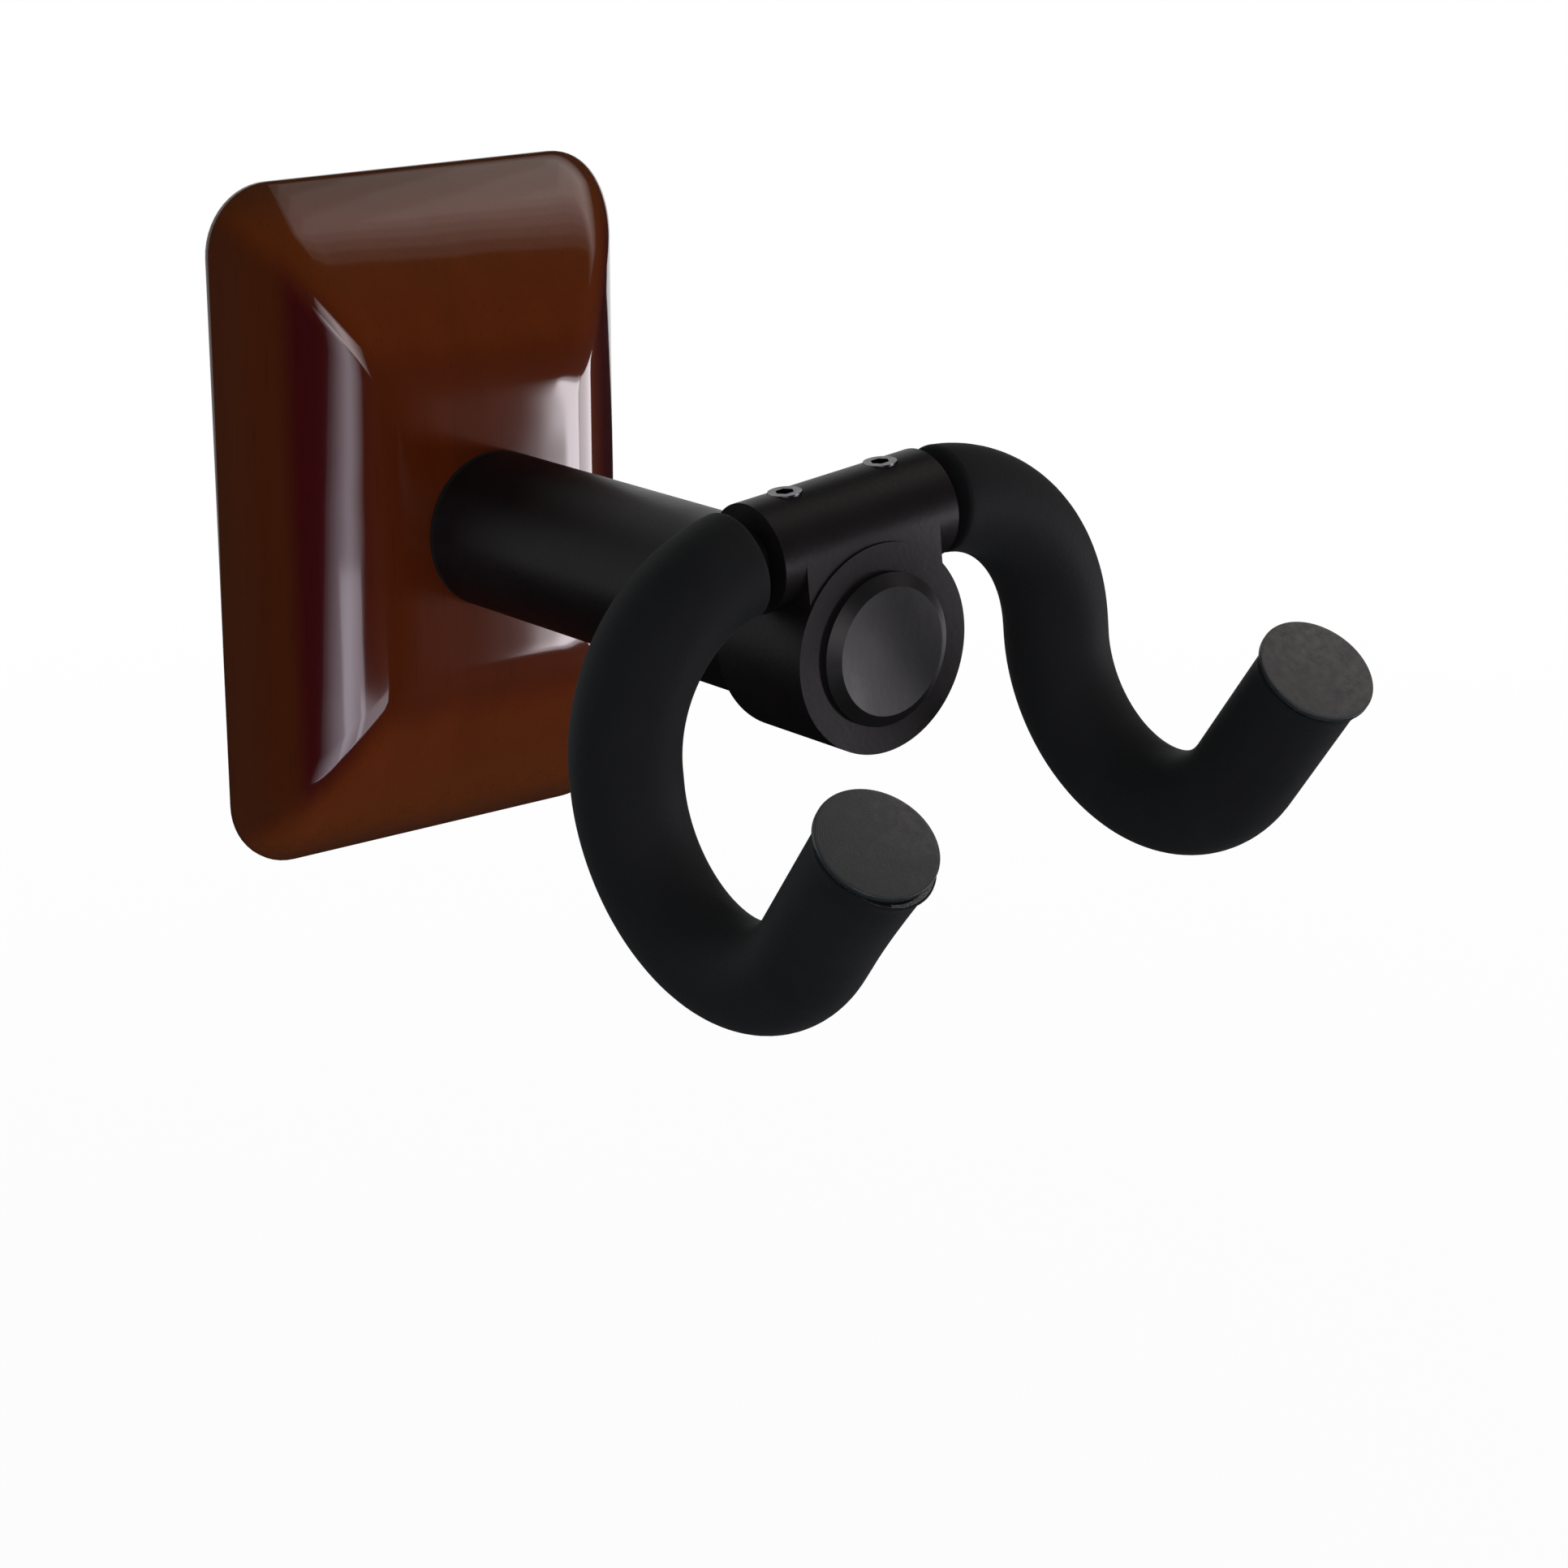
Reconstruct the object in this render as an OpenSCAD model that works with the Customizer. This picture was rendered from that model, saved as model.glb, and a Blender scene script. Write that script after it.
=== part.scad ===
// Wall guitar hanger: a lacquered wood block, a post and a swivelling foam-covered yoke.
// +Z is up, the wall is the plane y = 0 and the hanger stands out towards -Y.
// The origin is the centre of the block's back face, on the axis of the post.

/* [Wood block] */
// Width of the block
block_w = 62; // [58:0.5:80]
// Height of the block
block_h = 90; // [86:0.5:130]
// Thickness of the block at its raised field
block_t = 18; // [17:0.5:24]
// Radius of the four corners of the outline
corner_r = 9; // [5:0.5:12]
// Thickness of the square edge next to the wall
edge_t = 1; // [0.5:0.5:2]
// How far the slopes on the two sides run in to the field
side_slope_w = 16; // [13:0.5:17]
// How far the slopes above and below run in to the field
end_slope_w = 24; // [20:0.5:26]
// Fullness of the slopes: 1 is a straight bevel and 2 is a quarter of an ellipse
fullness = 1.25; // [1.1:0.05:1.6]

/* [Wall plate] */
// Width of the steel plate let into the back
plate_w = 36; // [32:0.5:40]
// Height of the steel plate
plate_h = 72; // [70:0.5:76]
// Thickness of the steel plate
plate_t = 2; // [1.5:0.1:2.5]
// Distance of each keyhole's centre from its end of the plate
keyhole_edge = 11; // [10:0.5:12]
// Diameter of a keyhole's round entry
keyhole_d = 9.5; // [8:0.5:10]
// Width of a keyhole's slot
slot_w = 5; // [4:0.5:6]
// Length of a keyhole's slot, centre to centre
slot_l = 7; // [6:0.5:8]
// Depth of the pocket that takes a wall screw's head
head_pocket_t = 5; // [4:0.5:6]
// Diameter of the plate screws' shanks
plate_screw_d = 3.5; // [3:0.1:4]
// Length of the plate screws
plate_screw_l = 9; // [7:0.5:9.5]

/* [Post] */
// Outer diameter of the post
post_d = 20.5; // [20:0.5:24]
// Wall of the post tube
post_wall = 2; // [1.5:0.1:2.2]
// Length of the post tube
post_l = 57; // [50:1:80]
// Thickness of the gasket under the post
gasket_t = 0.8; // [0.5:0.1:1.5]
// Length of the plugs inside the tube
plug_l = 16; // [14:1:20]
// Thickness of the front plug's flange
plug_flange_t = 3; // [2:0.5:4]
// Diameter of the bolt that holds the post
post_bolt_d = 8; // [6:1:8]
// How far the post bolt enters the rear plug
post_bolt_grip = 13; // [10:1:14]

/* [Swivel] */
// How far the yoke stands turned from level, right arm up
tilt = 6; // [-20:1:20]
// Largest turn of the yoke either way from level
swivel_limit = 25; // [20:1:30]
// Diameter of the pivot screw's shoulder
pivot_d = 8; // [7:0.5:8]
// Diameter of the pivot screw's thread
pivot_thread_d = 6; // [5:1:6]
// Wall of the bushing
bushing_wall = 1.2; // [1:0.1:1.4]
// Diameter of the stop pin
stop_pin_d = 3; // [2.5:0.1:3]
// Thickness of the thrust washer
thrust_t = 1; // [0.8:0.1:1.5]
// Diameter of the hub's round body
hub_d = 25; // [24:0.5:30]
// Thickness of the hub from back to front
hub_t = 15; // [15:0.5:18]

/* [Yoke] */
// Distance between the two arms, centre to centre
arm_pitch = 66; // [60:1:80]
// Diameter of the steel rod
rod_d = 7; // [6:0.5:8]
// Height of the rod above the pivot where it crosses the hub
rod_rise = 13; // [12.5:0.5:15]
// Centreline radius of the shoulder bends
shoulder_r = 20; // [17:0.5:20]
// Straight drop below the shoulder bends
drop_l = 1.5; // [1:0.5:20]
// Centreline radius of the hooks
hook_r = 17.5; // [15:0.5:25]
// Angle of the hooks' front legs above level
hook_rise = 52; // [40:1:65]
// Length of the hooks' straight front legs, to the face of the end cap
front_leg_l = 19.5; // [16:0.5:30]
// Outer diameter of the foam sleeves
foam_d = 12.8; // [12:0.2:16]
// Diameter of the end caps
cap_d = 14; // [13:0.2:18]
// Thickness of the end caps' flange
cap_t = 1.8; // [1.2:0.1:3]
// Length of the end caps' stem
stem_l = 8; // [6:0.5:10]

/* [Hidden] */
// fits and gaps
bolt_gap = 0.25;
pocket_gap = 1;
head_gap = 0.75;
fit = 0.1;
running_fit = 0.05;
face_gap = 0.15;
cover_gap = 0.2;
tiny = 0.01;
// how far a cutting tool passes the face it leaves
over = 1;
// steps along a slope, from the outline in to the corner's centre and from there to the field
rim_steps = 7;
slope_steps = 5;
// back to front, along the axis of the post
plate_recess = plate_t;
seat_wall = 5.5;
washer_seat = block_t - seat_wall;
washer_t = 1.6;
lock_washer_t = 2;
lock_washer_cut = 1.2;
bolt_head_t = 5.3;
head_mark_t = 0.4;
bolt_head_y = -(washer_seat - washer_t - lock_washer_t);
post_back = -(block_t + gasket_t);
tube_front = post_back - post_l;
post_front = tube_front - plug_flange_t;
hub_back = post_front - thrust_t - face_gap;
hub_front = hub_back - hub_t;
rod_y = hub_back - hub_t * 0.55;
// the post bolt
bolt_hole_d = post_bolt_d + 2 * bolt_gap;
washer_d = 2 * post_bolt_d;
bolt_head_d = 1.85 * post_bolt_d;
pocket_d = washer_d + 2 * pocket_gap;
// the plate's screws stand near its corners
screw_edge = 5;
screw_x = plate_w / 2 - screw_edge;
screw_z = plate_h / 2 - screw_edge;
screw_head_d = 2 * plate_screw_d;
cross_w = 0.8;
cross_l = 3.6;
cross_t = 1;
keyhole_pitch = plate_h - 2 * keyhole_edge;
plug_d = post_d - 2 * post_wall - fit;
// the swivel
bushing_d = pivot_d + 2 * bushing_wall;
bushing_l = 6;
bushing_rim = 1.7;
bushing_flange_d = bushing_d + 2 * bushing_rim;
bushing_flange_t = 1;
well_d = 15.2;
well_floor = hub_back - bushing_l;
pivot_head_d = 12;
pivot_head_t = 4.5;
pivot_socket_w = 4.6;
pivot_socket_t = 2.5;
wave_t = 0.7;
wave_inset = 0.5;
pivot_head_y = well_floor - bushing_flange_t - wave_t - 2 * face_gap;
pivot_thread_l = 12;
stop_wall = 0.9;
stop_r = (bushing_d + stop_pin_d) / 2 + stop_wall;
stop_depth = 3.5;
stop_pin_back = tube_front - cover_gap;
thrust_inset = 0.25;
stop_slot_w = stop_pin_d + 2 * cover_gap;
cover_lip = 1.5;
cover_wall = 1.2;
cover_edge_t = 0.6;
cover_dome_t = 1;
cover_skirt_l = 2;
// the yoke
arm_x = arm_pitch / 2;
barrel_wall = 3;
barrel_d = rod_d + 2 * barrel_wall;
barrel_x = arm_x - shoulder_r;
shoulder_z = rod_rise - shoulder_r;
hook_z = shoulder_z - drop_l;
foam_start = 6;
stem_wall = 1.3;
stem_d = rod_d + 2 * stem_wall;
cap_edge = 0.4;
sleeve_leg_l = front_leg_l - cap_t - cover_gap;
// how far a straight leg laps into a bend, and how much thinner it is
leg_lap = 0.3;
leg_ease_t = 0.02;
grub_d = 4;
grub_socket_w = 2.3;
grub_socket_t = 1.5;
grub_l = barrel_d / 2 - rod_d / 2;
grub_x = barrel_x * 0.55;

$fn = 96;

// A round bar along the post's axis, from y = back to y = front
module bar(d, back, front) {
    translate([0, back, 0])
        rotate([90, 0, 0])
            cylinder(d = d, h = back - front);
}

// A round bar with a bore along it
module sleeve(d, bore, back, front) {
    difference() {
        bar(d, back, front);
        bar(bore, back + over, front - over);
    }
}

// Everything on the yoke turns with it about the post's axis
module turned() {
    rotate([0, -tilt, 0])
        children();
}

// ---- the wood block ----

// Height above the back at a distance in from the outline: a superellipse from edge to field
function slope_height(inset, slope_w) =
    edge_t + (block_t - edge_t) * pow(1 - pow(1 - inset / slope_w, fullness), 1 / fullness);

// Outer part of a slope, as [distance in from the outline, height above the back]
function rim_curve(slope_w) = [
    for (i = [0 : rim_steps])
        let (inset = corner_r * pow(i / rim_steps, 2))
        [inset, slope_height(inset, slope_w)]
];

// Rest of the slope, up to the field
function inner_curve(slope_w) = [
    for (i = [1 : slope_steps])
        let (inset = corner_r + (slope_w - corner_r) * i / slope_steps)
        [inset, slope_height(inset, slope_w)]
];

// Full section of the block for a given breadth, centred on x = 0
module block_section(breadth, slope_w) {
    edge = concat([[0, 0]], rim_curve(slope_w), inner_curve(slope_w));
    right = [for (p = edge) [breadth / 2 - p[0], p[1]]];
    left = [for (i = [len(edge) - 1 : -1 : 0]) [edge[i][0] - breadth / 2, edge[i][1]]];
    polygon(concat(right, left));
}

// Outline with round corners, each corner turned with the section of the sides
module rounded_blank() {
    flat_w = block_w - 2 * corner_r;
    flat_h = block_h - 2 * corner_r;
    translate([-flat_w / 2, -block_t, -block_h / 2])
        cube([flat_w, block_t, block_h]);
    translate([-block_w / 2, -block_t, -flat_h / 2])
        cube([block_w, block_t, flat_h]);
    for (x = [-1, 1], z = [-1, 1])
        translate([x * flat_w / 2, 0, z * flat_h / 2])
            rotate([90, 0, 0])
                rotate_extrude()
                    polygon(concat(
                        [[0, 0], [corner_r, 0]],
                        [for (p = rim_curve(side_slope_w)) [corner_r - p[0], p[1]]]
                    ));
}

module block_shape() {
    intersection() {
        rounded_blank();
        translate([0, 0, -block_h / 2])
            linear_extrude(block_h)
                mirror([0, 1])
                    block_section(block_w, side_slope_w);
        translate([-block_w / 2, 0, 0])
            rotate([0, 90, 0])
                linear_extrude(block_w)
                    mirror([0, 1])
                        block_section(block_h, end_slope_w);
    }
}

// Round entry below and narrow slot above, from y = back to y = front
module keyhole(entry_d, width, back, front) {
    translate([0, 0, -slot_l / 2])
        bar(entry_d, back, front);
    translate([0, 0, slot_l / 2])
        bar(width, back, front);
    translate([-width / 2, front, -slot_l / 2])
        cube([width, back - front, slot_l]);
}

module at_keyholes() {
    for (z = [-1, 1])
        translate([0, 0, z * keyhole_pitch / 2])
            children();
}

module at_plate_screws() {
    for (x = [-1, 1], z = [-1, 1])
        translate([x * screw_x, 0, z * screw_z])
            children();
}

module wood_block() {
    pocket_w = keyhole_d + 2 * head_gap;
    color("#4a1c0c")
        difference() {
            block_shape();
            translate([-plate_w / 2 - fit, -plate_recess, -plate_h / 2 - fit])
                cube([plate_w + 2 * fit, plate_recess + over, plate_h + 2 * fit]);
            at_keyholes()
                keyhole(pocket_w, pocket_w, 0, -plate_recess - head_pocket_t);
            at_plate_screws()
                bar(plate_screw_d + fit, 0, -plate_recess - plate_screw_l);
            bar(pocket_d, 0, -washer_seat);
            bar(bolt_hole_d, 0, -block_t - over);
        }
}

// ---- wall plate and its screws ----

module wall_plate() {
    color("silver")
        difference() {
            translate([-plate_w / 2, -plate_recess, -plate_h / 2])
                cube([plate_w, plate_t, plate_h]);
            at_keyholes()
                keyhole(keyhole_d, slot_w, over, -plate_recess - over);
            at_plate_screws() {
                bar(plate_screw_d + fit, over, -plate_recess - over);
                countersink(screw_head_d + 2 * fit);
            }
        }
}

// Cone of a flat screw head that lies flush in the plate
module countersink(d) {
    head_t = (d - plate_screw_d) / 2;
    translate([0, -cover_gap, 0])
        rotate([90, 0, 0])
            cylinder(d1 = d, d2 = plate_screw_d, h = head_t);
}

module plate_screws() {
    color("gray")
        at_plate_screws()
            difference() {
                union() {
                    countersink(screw_head_d);
                    bar(plate_screw_d, -cover_gap, -cover_gap - plate_screw_l);
                }
                cross_recess();
            }
}

module cross_recess() {
    for (a = [0, 90])
        translate([0, -cover_gap, 0])
            rotate([0, a, 0])
                cube([cross_w, 2 * cross_t, cross_l], center = true);
}

// ---- post and the bolt that holds it ----

module post_bolt() {
    color("gray")
        difference() {
            union() {
                translate([0, bolt_head_y + bolt_head_t, 0])
                    rotate([90, 0, 0])
                        cylinder(d = bolt_head_d, h = bolt_head_t, $fn = 6);
                bar(post_bolt_d, bolt_head_y + tiny, post_back - post_bolt_grip);
            }
            translate([0, bolt_head_y + bolt_head_t, 0])
                bar(bolt_head_d / 2, over, -head_mark_t);
        }
}

module post_bolt_washer() {
    color("silver")
        sleeve(washer_d, post_bolt_d + 2 * fit, washer_t - washer_seat, -washer_seat);
}

// Split spring washer: a ring with a narrow cut across one side
module post_lock_washer() {
    color("gray")
        difference() {
            sleeve(bolt_head_d, post_bolt_d + 2 * fit, bolt_head_y, bolt_head_y - lock_washer_t);
            translate([0, bolt_head_y - lock_washer_t - over, -lock_washer_cut / 2])
                cube([bolt_head_d, lock_washer_t + 2 * over, lock_washer_cut]);
        }
}

module post_gasket() {
    color("#1b1b1b")
        sleeve(post_d, bolt_hole_d, -block_t, post_back);
}

module post_tube() {
    color("#1d1b1c")
        sleeve(post_d, post_d - 2 * post_wall, post_back, tube_front);
}

module rear_plug() {
    color("gray")
        sleeve(plug_d, post_bolt_d + fit, post_back, post_back - plug_l);
}

module front_plug() {
    color("#1d1b1c")
        difference() {
            union() {
                bar(post_d, tube_front, post_front);
                bar(plug_d, tube_front + plug_l, tube_front - tiny);
            }
            bar(pivot_thread_d + fit, tube_front + plug_l + over, post_front - over);
            at_stop_pin()
                bar(stop_pin_d + fit, stop_pin_back, post_front - over);
        }
}

// ---- swivel ----

module at_stop_pin() {
    translate([0, 0, -stop_r])
        children();
}

module thrust_washer() {
    color("ivory")
        difference() {
            sleeve(post_d - 2 * thrust_inset, pivot_d + 2 * fit, post_front, post_front - thrust_t);
            at_stop_pin()
                bar(stop_pin_d + fit, post_front + over, post_front - thrust_t - over);
        }
}

module stop_pin() {
    color("silver")
        at_stop_pin()
            bar(stop_pin_d, stop_pin_back, hub_back - stop_depth + cover_gap);
}

module pivot_screw() {
    color("gray")
        difference() {
            union() {
                bar(pivot_thread_d, post_front + pivot_thread_l, post_front - tiny);
                bar(pivot_d, post_front, pivot_head_y - tiny);
                bar(pivot_head_d, pivot_head_y, pivot_head_y - pivot_head_t);
            }
            translate([0, pivot_head_y - pivot_head_t + pivot_socket_t, 0])
                rotate([90, 0, 0])
                    cylinder(d = pivot_socket_w, h = pivot_socket_t + over, $fn = 6);
        }
}

module pivot_bushing() {
    color("goldenrod")
        difference() {
            union() {
                bar(bushing_d, hub_back, well_floor - tiny);
                bar(bushing_flange_d, well_floor, well_floor - bushing_flange_t);
            }
            bar(pivot_d + 2 * running_fit, hub_back + over, well_floor - bushing_flange_t - over);
        }
}

module wave_washer() {
    front = well_floor - bushing_flange_t - wave_t;
    color("silver")
        sleeve(pivot_head_d - 2 * wave_inset, pivot_d + 4 * fit, front + wave_t, front);
}

// Curved slot in the back of the hub, wide enough for the stop pin's travel
module stop_slot() {
    depth = stop_depth;
    translate([0, hub_back + tiny, 0])
        rotate([90, 0, 0]) {
            rotate([0, 0, -90 - swivel_limit])
                rotate_extrude(angle = 2 * swivel_limit)
                    translate([stop_r - stop_slot_w / 2, 0])
                        square([stop_slot_w, depth]);
            for (a = [-swivel_limit, swivel_limit])
                rotate([0, 0, -90 + a])
                    translate([stop_r, 0, 0])
                        cylinder(d = stop_slot_w, h = depth);
        }
}

// ---- yoke ----

module at_barrel() {
    translate([0, rod_y, rod_rise])
        rotate([0, 90, 0])
            children();
}

module at_grub_screws() {
    for (x = [-1, 1])
        translate([x * grub_x, rod_y, rod_rise + rod_d / 2])
            children();
}

module yoke_hub() {
    web_w = hub_d * 0.8;
    color("#1d1b1c")
        turned()
            difference() {
                union() {
                    bar(hub_d, hub_back, hub_front);
                    at_barrel()
                        cylinder(d = barrel_d, h = 2 * barrel_x, center = true);
                    translate([-web_w / 2, rod_y - barrel_d / 2, 0])
                        cube([web_w, barrel_d, rod_rise]);
                }
                at_barrel()
                    cylinder(d = rod_d + fit, h = 2 * barrel_x + 2 * over, center = true);
                at_grub_screws()
                    cylinder(d = grub_d + fit, h = barrel_d);
                bar(bushing_d + fit, hub_back + over, well_floor - over);
                bar(well_d, well_floor, hub_front - over);
                stop_slot();
            }
}

// Snap-in cover over the pivot screw's head, with a low dome in front
module hub_cap() {
    cover_d = well_d + 2 * cover_lip;
    bore = well_d - 2 * cover_wall;
    color("#1d1b1c")
        turned() {
            bar(cover_d, hub_front, hub_front - cover_edge_t);
            translate([0, hub_front - cover_edge_t, 0])
                rotate([90, 0, 0])
                    cylinder(d1 = cover_d, d2 = well_d, h = cover_dome_t);
            sleeve(well_d - fit, bore, hub_front + cover_skirt_l, hub_front);
        }
}

// Round section with an optional hole, for anything that follows the rod
module ring_section(d, bore) {
    difference() {
        circle(d = d);
        if (bore > 0)
            circle(d = bore);
    }
}

// Section of a straight leg: a hair thinner all round than the bends it laps into
module leg_section(d, bore) {
    ring_section(d - 2 * leg_ease_t, bore > 0 ? bore + 2 * leg_ease_t : 0);
}

// Puts its children at the top of the right arm's hook
module at_arm() {
    translate([arm_x, rod_y, hook_z])
        children();
}

// Shoulder bend of the right arm, leaving out the first degrees next to the hub
module shoulder_bend(d, bore, skipped) {
    at_arm()
        translate([-shoulder_r, 0, drop_l])
            rotate([90, 0, 0])
                rotate_extrude(angle = 90 - skipped)
                    translate([shoulder_r, 0])
                        ring_section(d, bore);
}

module drop_leg(d, bore) {
    at_arm()
        translate([0, 0, -leg_lap])
            linear_extrude(drop_l + 2 * leg_lap)
                leg_section(d, bore);
}

// Puts its children in the plane of the hook, turned so that the bend starts on +X at the front leg
module in_hook_plane() {
    at_arm()
        translate([0, -hook_r, 0])
            rotate([90, 0, 90])
                rotate([0, 0, -90 - hook_rise])
                    children();
}

module hook_bend(d, bore) {
    in_hook_plane()
        rotate_extrude(angle = 90 + hook_rise)
            translate([hook_r, 0])
                ring_section(d, bore);
}

// Puts its children at the start of the front leg, with +Z along the leg
module on_front_leg() {
    in_hook_plane()
        translate([hook_r, 0, 0])
            rotate([90, 0, 0])
                children();
}

module front_leg(d, bore, start, end) {
    on_front_leg()
        translate([0, 0, start])
            linear_extrude(end - start)
                leg_section(d, bore);
}

module half_rod() {
    at_barrel()
        cylinder(d = rod_d, h = barrel_x);
    shoulder_bend(rod_d, 0, 0);
    drop_leg(rod_d, 0);
    hook_bend(rod_d, 0);
    front_leg(rod_d, 0, -leg_lap, sleeve_leg_l);
}

module yoke_rod() {
    color("#2a2a2c")
        turned() {
            half_rod();
            mirror([1, 0, 0])
                half_rod();
        }
}

module rod_grub_screws() {
    color("gray")
        turned()
            at_grub_screws()
                difference() {
                    cylinder(d = grub_d, h = grub_l);
                    translate([0, 0, grub_l - grub_socket_t])
                        cylinder(d = grub_socket_w, h = grub_socket_t + over, $fn = 6);
                }
}

// Foam sleeve over the right arm, opened out near its end for the cap's stem
module foam_sleeve() {
    bore = rod_d + fit;
    plain_l = sleeve_leg_l - stem_l;
    color("#191b1c") {
        shoulder_bend(foam_d, bore, foam_start);
        drop_leg(foam_d, bore);
        hook_bend(foam_d, bore);
        front_leg(foam_d, bore, -leg_lap, plain_l);
        front_leg(foam_d, stem_d + fit, plain_l, sleeve_leg_l);
    }
}

module right_foam_sleeve() {
    turned()
        foam_sleeve();
}

module left_foam_sleeve() {
    turned()
        mirror([1, 0, 0])
            foam_sleeve();
}

// Rubber end cap: a plain disc with a hollow stem that grips the rod inside the foam
module end_cap() {
    color("#363a3a")
        on_front_leg()
            translate([0, 0, front_leg_l - cap_t])
                difference() {
                    union() {
                        cylinder(d = cap_d, h = cap_t - cap_edge);
                        translate([0, 0, cap_t - cap_edge])
                            cylinder(d1 = cap_d, d2 = cap_d - 2 * cap_edge, h = cap_edge);
                        translate([0, 0, -stem_l])
                            cylinder(d = stem_d, h = stem_l);
                    }
                    translate([0, 0, -stem_l - over])
                        cylinder(d = rod_d + fit, h = stem_l + over);
                }
}

module right_end_cap() {
    turned()
        end_cap();
}

module left_end_cap() {
    turned()
        mirror([1, 0, 0])
            end_cap();
}

wood_block();
wall_plate();
plate_screws();
post_bolt();
post_bolt_washer();
post_lock_washer();
post_gasket();
post_tube();
rear_plug();
front_plug();
thrust_washer();
stop_pin();
pivot_screw();
turned() pivot_bushing();
turned() wave_washer();
yoke_hub();
hub_cap();
yoke_rod();
rod_grub_screws();
left_foam_sleeve();
right_foam_sleeve();
left_end_cap();
right_end_cap();
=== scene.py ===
from math import cos, pi, radians, sin

import bpy
import numpy as np
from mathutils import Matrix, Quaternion, Vector


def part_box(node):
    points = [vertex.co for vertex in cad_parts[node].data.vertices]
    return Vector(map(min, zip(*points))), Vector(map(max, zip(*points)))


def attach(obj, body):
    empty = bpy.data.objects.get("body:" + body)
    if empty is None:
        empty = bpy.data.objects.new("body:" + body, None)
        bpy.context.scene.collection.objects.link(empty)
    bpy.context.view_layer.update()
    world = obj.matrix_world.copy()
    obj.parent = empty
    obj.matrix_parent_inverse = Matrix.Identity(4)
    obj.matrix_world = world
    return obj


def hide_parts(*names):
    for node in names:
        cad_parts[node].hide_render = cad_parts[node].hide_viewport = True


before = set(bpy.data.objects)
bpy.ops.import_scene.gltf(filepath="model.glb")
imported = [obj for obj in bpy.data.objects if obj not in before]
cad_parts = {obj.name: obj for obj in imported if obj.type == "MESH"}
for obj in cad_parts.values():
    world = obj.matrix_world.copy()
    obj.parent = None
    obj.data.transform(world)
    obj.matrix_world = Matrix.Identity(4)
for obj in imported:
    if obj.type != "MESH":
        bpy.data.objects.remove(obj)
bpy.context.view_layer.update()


# ---- Wood block -----------------------------------------------------------------------------
# A small mahogany board, stained red-brown and lacquered to a gloss. Its face is crowned: full
# slopes rise from the outline to a flat field and meet in mitres at the four round corners. The
# back has a recess for the wall plate and pockets for the screw heads.

mm = 0.001


def band_of_rings(rings, ends="fanned"):
    """Surface through rings of points, an array (rings, points around, 3). Each quad joins two
    neighbours on one ring to the same two on the next. ends is "fanned", where a fan to the mean
    point closes the first and the last ring, or "joined", where the last ring meets the first."""
    count, around = rings.shape[:2]
    row = np.arange(count if ends == "joined" else count - 1)[:, None]
    col = np.arange(around)[None, :]
    next_row, next_col = (row + 1) % count, (col + 1) % around
    quads = np.stack([row * around + col, row * around + next_col,
                      next_row * around + next_col, next_row * around + col], -1).reshape(-1, 4)
    points = rings.reshape(-1, 3)
    faces = quads.tolist()
    if ends == "fanned":
        points = np.vstack([points, rings[0].mean(0), rings[-1].mean(0)])
        first, last = len(points) - 2, len(points) - 1
        here = np.arange(around)
        after = (here + 1) % around
        top = (count - 1) * around
        faces += np.stack([after, here, np.full(around, first)], -1).tolist()
        faces += np.stack([top + here, top + after, np.full(around, last)], -1).tolist()
    return points, faces


def outward(points, faces):
    """The same faces, turned over if the volume they enclose comes out negative: the sum over all
    triangles of a . (b x c) / 6."""
    corners = np.array([[f[0], f[i], f[i + 1]] for f in faces for i in range(1, len(f) - 1)])
    a, b, c = points[corners[:, 0]], points[corners[:, 1]], points[corners[:, 2]]
    volume = np.einsum("ij,ij->i", a, np.cross(b, c)).sum()
    return faces if volume > 0 else [f[::-1] for f in faces]


def new_piece(name, rings, ends="fanned", crease=40):
    """A closed mesh object through the rings, given in millimetres. Edges sharper than crease
    degrees stay sharp, and the rest is shaded smooth."""
    points, faces = band_of_rings(rings, ends)
    faces = outward(points, faces)
    mesh = bpy.data.meshes.new(name)
    mesh.from_pydata((points * mm).tolist(), [], faces)
    mesh.polygons.foreach_set("use_smooth", np.ones(len(mesh.polygons), bool))
    mesh.set_sharp_from_angle(angle=radians(crease))
    mesh.update()
    piece = bpy.data.objects.new(name, mesh)
    bpy.context.scene.collection.objects.link(piece)
    return piece


def round_cornered(half_w, half_h, radius, y, per_corner=14, per_side=22):
    """One ring of a board: a rectangle in the plane y whose corners are arcs of that radius.
    Points run round the four arcs, and evenly along the straight sides between them."""
    arc = np.linspace(0, pi / 2, per_corner)
    arcs = []
    for quarter, (sx, sz) in enumerate([(1, 1), (-1, 1), (-1, -1), (1, -1)]):
        a = arc + quarter * pi / 2
        x = sx * (half_w - radius) + radius * np.cos(a)
        z = sz * (half_h - radius) + radius * np.sin(a)
        arcs.append(np.stack([x, np.full_like(x, y), z], -1))
    ring = []
    for quarter in range(4):
        start, end = arcs[quarter][-1], arcs[(quarter + 1) % 4][0]
        t = np.linspace(0, 1, per_side + 2)[1:-1, None]
        ring += [arcs[quarter], start + (end - start) * t]
    return np.vstack(ring)


block_lo, block_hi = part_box("wood_block")
block_w, block_t, block_h = [v / mm for v in (block_hi - block_lo)]
plate_lo, plate_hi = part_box("wall_plate")
plate_w, plate_t, plate_h = [v / mm for v in (plate_hi - plate_lo)]
corner_r = 9.0
mitre_r = 3.0
edge_t = 1.0
back_ease = 0.5
side_slope_w, end_slope_w = 16.0, 24.0
fullness = 1.25

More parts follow.
